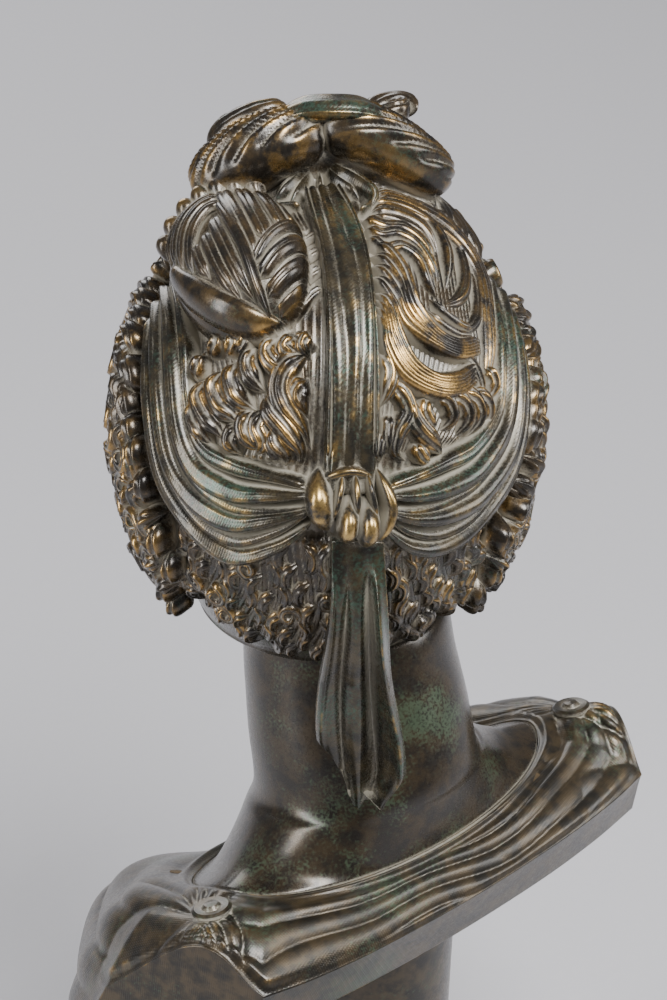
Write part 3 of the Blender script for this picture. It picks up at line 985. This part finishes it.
# ---------------------------------------------------------------- long ribbon
# Band of pleated cloth down the middle of the back of the head, from the crown
# to the knot, cast in relief and chased with fine threads.
long_band = [lock(BACK, [(-4.8, 95.5), (-3.6, 88), (-1.8, 80), (0.3, 70), (1.5, 60), (2.1, 50),
                         (2.3, 40), (2.3, 30), (2.2, 22), (2, 14)],
                  [8.6, 10.4, 11.6, 12.2, 12.2, 12.6, 13, 13.2, 13, 12.4], 4.6, strands=3, deep=0.24,
                  crisp=0.8, square=0.42, ends=(0.03, 0.03), wander=0.07, step=0.42)]
for off, w in ((-0.42, 1.5), (0.43, 1.4)):
    long_band.append(lock(BACK, [(-4.8 + off * 9.6, 95), (-3.6 + off * 11.6, 88), (-1.8 + off * 13, 80),
                                 (0.3 + off * 13.6, 70), (1.5 + off * 13.8, 60), (2.1 + off * 14.2, 50),
                                 (2.3 + off * 14.8, 40), (2.3 + off * 15, 30), (2.2 + off * 14.6, 22)],
                          w, 5.0, strands=1, deep=0, ends=(0.04, 0.04)))
make_piece("ribbon_long", long_band, ribbon_bronze, ["ribbon_band"])


# ---------------------------------------------------------------- swags
# Two swags of the same cloth, from the knot up over each side of the head. Each
# hangs in six overlapping folds inside a raised border.
def swag(inner_edge, outer_edge, folds):
    """Folds lofted between two edge curves: fold i runs at the share (i + 0.5) / folds of
    the way from the inner edge to the outer one, 1.3 or 1.6 times as wide as its spacing."""
    a, b = np.array(inner_edge, float), np.array(outer_edge, float)
    ma, mb = over_metric(a[:, 0], a[:, 1])
    across = np.hypot((b - a)[:, 0] * ma, (b - a)[:, 1] * mb)
    shells = []
    for i in range(folds):
        q = (i + 0.5) / folds
        bulge = 0.4 + 1.2 * math.sin(math.pi * q) + 0.9 * (i % 2)
        path = a + (b - a) * q + np.stack([0 * a[:, 0], 0.8 * np.sin(2.1 * i + np.arange(len(a)))], 1)
        lift = bulge * np.sin(np.pi * np.linspace(0.1, 0.95, len(a)))
        shells.append(lock(BACK, np.column_stack([path, lift]), (1.3 + 0.3 * (i % 2)) * across / folds,
                           4.2 + 0.8 * (i % 2), strands=1 + i % 2, deep=0.16, crisp=0.5, turns=0.35,
                           ends=(0.03, 0.08), wander=0.10))
    shells.append(lock(BACK, np.column_stack([a, 0.4 + 0 * a[:, 0]]), 2.3, 4.4, strands=1, deep=0,
                       ends=(0.05, 0.1)))
    return shells


left_swag = swag([(-7, 16.5), (-18, 18.5), (-30, 20.5), (-40, 25), (-44.5, 38), (-46, 58),
                  (-49, 78), (-53, 98)],
                 [(-7, 9.5), (-17, 1), (-30, -6), (-44, -2), (-55, 9), (-61.5, 36), (-62.5, 64),
                  (-61, 90)], 6)
make_piece("swag_left", left_swag, ribbon_bronze, ["ribbon_swag_left"])
right_swag = swag([(10, 16.5), (20, 19), (30, 22), (40, 26), (49.5, 38), (51, 58), (50, 78), (49, 98)],
                  [(10, 9), (20, 1), (31, -2.5), (43, 0), (57, 10), (65.5, 32), (67, 62), (63, 92)], 6)
make_piece("swag_right", right_swag, ribbon_bronze, ["ribbon_swag_right"])

# ---------------------------------------------------------------- knot and tail
# The knot is four plump lobes with prongs and a strap between them, rubbed
# to bare metal by hands. Under it hangs one end of the ribbon, a folded sheet that
# stands clear of the neck.
knot_bronze = bronze("bronze_knot", (0.018, 0.016, 0.012), (0.075, 0.052, 0.025),
                     (0.034, 0.060, 0.040), (0.52, 0.35, 0.13), (0.40, 0.37, 0.30), wear=1.25,
                     dirt=0.55, spots=0.2, gloss=0.28, grain=0.012)
lobes = [lock(BACK, path, w, h, strands=n, deep=0.04, ends=(0.4, 0.4), tips=0.36, step=0.35)
         for path, w, h, n in (
             ([(-6.5, 20.5, 0.5), (-5.8, 14, 2.2), (-3, 7, 0.5)], 7.0, 7.4, 1),
             ([(1.6, 15.5, 1.0), (1.7, 9.5, 2.8), (1.0, 4.5, 0.5)], 5.4, 7.6, 1),
             ([(6.0, 15, 1.0), (6.8, 9, 2.8), (6.0, 3.5, 0.5)], 5.8, 7.6, 1),
             ([(9, 21, 0.5), (12.3, 13, 1.8), (9.5, 4, 0.5)], 3.8, 7.4, 1),
             ([(0, 21, 0.5), (-1, 15, 1.8), (-2.6, 9.5, 1.0)], 2.4, 6.4, 1),
             ([(3, 21, 0.5), (3.6, 15, 2.0), (4.1, 10.5, 1.4)], 2.4, 6.6, 1),
             ([(6, 21, 0.5), (7.6, 15, 1.8), (9.4, 9.5, 1.0)], 2.2, 6.4, 1),
             ([(-7, 18, 0), (2, 20.5, 0.6), (10, 18.5, 0)], 3.0, 5.4, 2))]
make_piece("knot_lobes", lobes, knot_bronze, ["ribbon_knot"])

rows, cols = 170, 90
tail_top, tail_long, tail_narrow, tail_flare, tail_back, tail_t = 5, 70, 5.0, 4.3, 52.5, 1.8
u, v = np.linspace(0, 1, rows)[:, None], np.linspace(0, 1, cols)[None, :]
half = (tail_narrow + tail_flare * ease(1.25 * u)) * (1 - 0.36 * ease((u - 0.86) / 0.14))
lean = 1 + 0.10 * np.sin(8 * u + 0.8) * (v > 0.5) * ease((v - 0.5) * 2)
tail_x = -3.4 - 4.6 * u - (2 * v - 1) * half * lean
tail_y = tail_back + 2.5 * np.sin(np.pi * np.minimum(1, 2 * u)) - 7 * u * u
tail_z = tail_top - tail_long * u - 3.2 * u * (1 - np.abs(2 * v - 1)) + 13 * ease(1 - v / 0.45) * u ** 4
pleat = 2.3 * np.abs(np.sin(np.pi * (2.6 * v + 0.18 * np.sin(3.5 * u) + 0.1))) ** 0.75
pleat += 3.2 * bell(v - 0.90 + 0.05 * np.sin(6 * u + 0.4), 0.05) + 1.0 * bell(v - 0.05, 0.035)
pleat -= 2.0 * bell(v - 0.68 - 0.04 * np.sin(5 * u), 0.06)
front_sheet = np.stack([tail_x, tail_y + tail_t + pleat * ease(3 * u), tail_z], -1)
back_sheet = np.stack([tail_x, tail_y + 0.25 * pleat * ease(3 * u), tail_z], -1)
sheet = np.concatenate([front_sheet, back_sheet[:, ::-1]], 1)
points, quads, tris = close_grid(sheet)
make_piece("ribbon_end", [(from_head(points), quads, tris)], ribbon_bronze,
           ["ribbon_tail"])


# ---------------------------------------------------------------- side curls
# Small snail curls over each ear inside a rim of longer ones, modelled in wax one
# by one, cast with the head and opened with a round punch.
def beside(side):
    """Chart over an ear, side 1 on the figure's right: polar angle from the ear, with a
    towards the back and b upwards, in degrees."""
    def place(a, b, h):
        rho, way = np.radians(np.hypot(a, b)), np.arctan2(b, a)
        return np.stack([-side * (skull[0] + h) * np.cos(rho),
                         (skull[1] + h) * np.sin(rho) * np.cos(way),
                         (skull[2] + h) * np.sin(rho) * np.sin(way)], -1)
    return place, lambda a, b: (0.87 + 0 * a, 0.9 + 0 * b)


def snail(chart, a, b, radius, start, hand, wide, high, base=0.0, turns=1.35):
    """Lock wound in a spiral: the radius shrinks evenly from its full size to a fifth
    while the angle grows, and the middle stands highest."""
    k = np.linspace(0, 1, 9)
    ma, mb = chart[1](np.array([a]), np.array([b]))
    r = radius * (1 - 0.82 * k)
    e = start + hand * 2 * np.pi * turns * k
    path = np.stack([a + r * np.cos(e) / ma[0], b + r * np.sin(e) / mb[0], base + 1.5 * k], 1)
    return lock(chart, path, [wide * 0.8, wide, wide * 0.9, wide * 0.75], high, strands=2, deep=0.24,
                ends=(0.15, 0.2), step=0.6)


def side_edge(t):
    """Polar angle from the ear at which the curls end, by the angle over the head."""
    return 90 - np.interp(t, [-40, -18, -5, 8, 25, 45, 80, 100, 125, 150],
                          [46, 50, 58, 65, 69, 70, 70, 66, 60, 58])


rng = np.random.default_rng(7)
curl_a, curl_b, rim_step = 7.4, 6.6, 6.2
for side, name, node in ((-1, "left", "side_curls_left"), (1, "right", "side_curls_right")):
    chart = beside(side)
    grid_a, grid_b = np.meshgrid(np.arange(-44, 45, curl_a), np.arange(-44, 45, curl_b))
    grid_a = grid_a + curl_a / 2 * (np.arange(len(grid_a)) % 2)[:, None]
    spots = np.stack([grid_a.ravel(), grid_b.ravel()], 1) + rng.uniform(-0.9, 0.9, (grid_a.size, 2))
    ring = []
    for a, b in spots:
        over_top = math.degrees(math.atan2(b, a))
        t = over_top if over_top > -120 else over_top + 360
        if -52 < t < 150 and math.hypot(a, b) < side_edge(t) - 4:
            ring.append(snail(chart, a, b, rng.uniform(3.0, 3.7), rng.uniform(0, 2 * np.pi),
                              rng.choice([-1, 1]), 3.9, rng.uniform(4.2, 5.6), base=2.6))
    for i, way in enumerate(np.arange(-50, 150, rim_step)):
        e, hand = np.radians(way + rng.uniform(-1.5, 1.5)), rng.choice([-1, 1])
        mid = side_edge(way) - 1.0 - 3.2 * (i % 2) + rng.uniform(-0.8, 0.8)
        long = rng.uniform(4.4, 6.2)
        path = [((mid + bow * hand) * math.cos(e) - run * long * math.sin(e),
                 (mid + bow * hand) * math.sin(e) + run * long * math.cos(e), lift)
                for run, bow, lift in ((-1.0, 1.6, 0.6), (-0.35, -1.7, 2.6), (0.3, -1.4, 3.4),
                                       (1.0, 2.0, 1.2))]
        ring.append(lock(chart, path, [3.8, 5.4, 5.0, 3.4], rng.uniform(4.2, 5.6), strands=3, deep=0.26,
                         ends=(0.3, 0.35)))
    rho = np.linspace(2, 48, 60)[:, None]
    way = np.radians(np.linspace(-52, 152, 150))[None, :]
    reach = np.minimum(rho, side_edge(np.degrees(way)) + 2.5)
    a, b = reach * np.cos(way), reach * np.sin(way)
    fall = ease((side_edge(np.degrees(way)) + 2 - rho) / 4)
    hump = -0.6 + 3.8 * fall + 0.3 * np.sin(a * 1.1) * np.cos(b * 1.3)
    low_bed = chart[0](a, b, -2.0 + 0 * a)
    points, quads, tris = close_grid(np.concatenate([chart[0](a, b, hump), low_bed[:, ::-1]], 1))
    ring.append((from_head(points), quads, tris))
    make_piece("ear_curls_" + name, ring, hair_bronze, [node])

# ---------------------------------------------------------------- brow curls
# Four rows of tighter snail curls over the forehead, parted in the middle. Each
# is modelled in wax and cast with the head.
for side, name, node in ((-1, "left", "brow_curls_left"), (1, "right", "brow_curls_right")):
    rows_of = []
    for row, t in enumerate((122, 129.5, 137, 144.5)):
        for s in np.arange(4.2 + 2.2 * (row % 2), 58, 8.2 - 0.4 * row):
            rows_of.append(snail(BACK, side * s, t + rng.uniform(-0.6, 0.6), rng.uniform(3.0, 3.5),
                                 rng.uniform(0, 2 * np.pi), side * (1 if row % 2 else -1), 3.5,
                                 rng.uniform(3.8, 4.8), base=1.5))
    rows_of.append(bed(BACK, lambda v: (side * 0.2 + 0 * v, side * 60 + 0 * v),
                       lambda u: (116 + 0 * u, 150 - 3 * np.cos(3 * u)), 2.6, 20, 0.8, (110, 50), 0.4))
    make_piece("forehead_curls_" + name, rows_of, hair_bronze, [node])

# ---------------------------------------------------------------- nape curls
# Short C-shaped curls in rows under the swags, smaller and flatter down to the
# hairline on the neck.
nape = [bed(BACK, lambda v: (-50 + 0 * v, 50 + 0 * v),
            lambda u: (-38 + 5 * np.abs(2 * u - 1), 8 + 0 * u), 2.6, 44, 0.8, (260, 90), 0.5)]
for row, t in enumerate((-34, -28.5, -23, -17.5, -12, -6.5, -1)):
    for s in np.arange(-47 + 3.2 * (row % 2), 49, 6.4):
        hand = 1 if math.sin(0.35 * s + 1.7 * row) > 0 else -1
        s, t1 = s + rng.uniform(-0.8, 0.8), t + rng.uniform(-0.8, 0.8)
        if rng.uniform() < 0.08:
            nape.append(snail(BACK, s, t1, 2.8, rng.uniform(0, 2 * np.pi), hand, 3.2, 3.2, base=0.8))
        else:
            nape.append(lock(BACK, [(s - 2.4 * hand, t1 + 4.4, 0.6), (s + 1.8 * hand, t1 + 1.8, 1.2),
                                    (s + 1.4 * hand, t1 - 2.2, 1.2), (s - 2.2 * hand, t1 - 4.6, 0.6)],
                             4.0, 3.0, strands=3, deep=0.24, ends=(0.3, 0.45)))
make_piece("neck_curls", nape, hair_bronze, ["nape_curls"])

# ---------------------------------------------------------------- floor, light, camera
# Pale seamless floor and air, one broad light overhead, one tall one at each
# side, and a long lens that looks down on the back of the head.
paper = Finish("floor_paper")
fibre = paper.noise(3, detail=3)
paper.set(Base_Color=paper.blend(fibre, (0.425, 0.42, 0.44), (0.445, 0.44, 0.46)),
          Roughness=paper.ramp(fibre, 0, 1, 0.88, 0.94))
across, deep = 6.0, 6.0
mesh = bpy.data.meshes.new("floor")
mesh.from_pydata([(-across, -deep, 0), (across, -deep, 0), (across, deep, 0), (-across, deep, 0)],
                 [], [(0, 1, 2, 3)])
mesh.materials.append(paper.material)
floor = bpy.data.objects.new("floor", mesh)
bpy.context.collection.objects.link(floor)

world = bpy.data.worlds.new("studio_air")
bpy.context.scene.world = world
world.use_nodes = True
world.node_tree.nodes["Background"].inputs["Color"].default_value = (0.60, 0.60, 0.62, 1)
world.node_tree.nodes["Background"].inputs["Strength"].default_value = 0.42


def softbox(name, place, aim, wide, tall, watts, colour=(1, 1, 1)):
    """Rectangular light at place that faces aim."""
    light = bpy.data.lights.new(name, "AREA")
    light.shape, light.size, light.size_y = "RECTANGLE", wide, tall
    light.energy, light.color = watts, colour
    lamp = bpy.data.objects.new(name, light)
    bpy.context.collection.objects.link(lamp)
    lamp.location = place
    way = np.array(aim, float) - np.array(place, float)
    lamp.rotation_euler = (math.acos(-way[2] / np.linalg.norm(way)), 0,
                           math.atan2(way[1], way[0]) - math.pi / 2)


head_at = (0.0, 0.0, 0.24)
softbox("light_top", (0.05, 0.55, 1.15), head_at, 0.5, 0.42, 23)
softbox("light_left", (0.95, -0.30, 0.55), head_at, 0.22, 1.0, 11)
softbox("light_right", (-0.75, 0.75, 0.75), head_at, 0.35, 0.9, 10)
softbox("light_front", (-0.4, -1.1, 0.7), head_at, 0.7, 0.7, 7)

lens = bpy.data.cameras.new("camera")
lens.sensor_width, lens.lens = 36.0, 102.1
camera = bpy.data.objects.new("camera", lens)
bpy.context.collection.objects.link(camera)
bpy.context.scene.camera = camera
azimuth, elevation, distance = math.radians(139), math.radians(33), 0.600
target = np.array([0.011, 0.001, 0.249])
camera.location = target + distance * np.array([
    math.sin(azimuth) * math.cos(elevation), -math.cos(azimuth) * math.cos(elevation),
    math.sin(elevation)])
camera.rotation_euler = (math.pi / 2 - elevation, 0, azimuth)
lens.clip_start, lens.clip_end = 0.05, 20.0
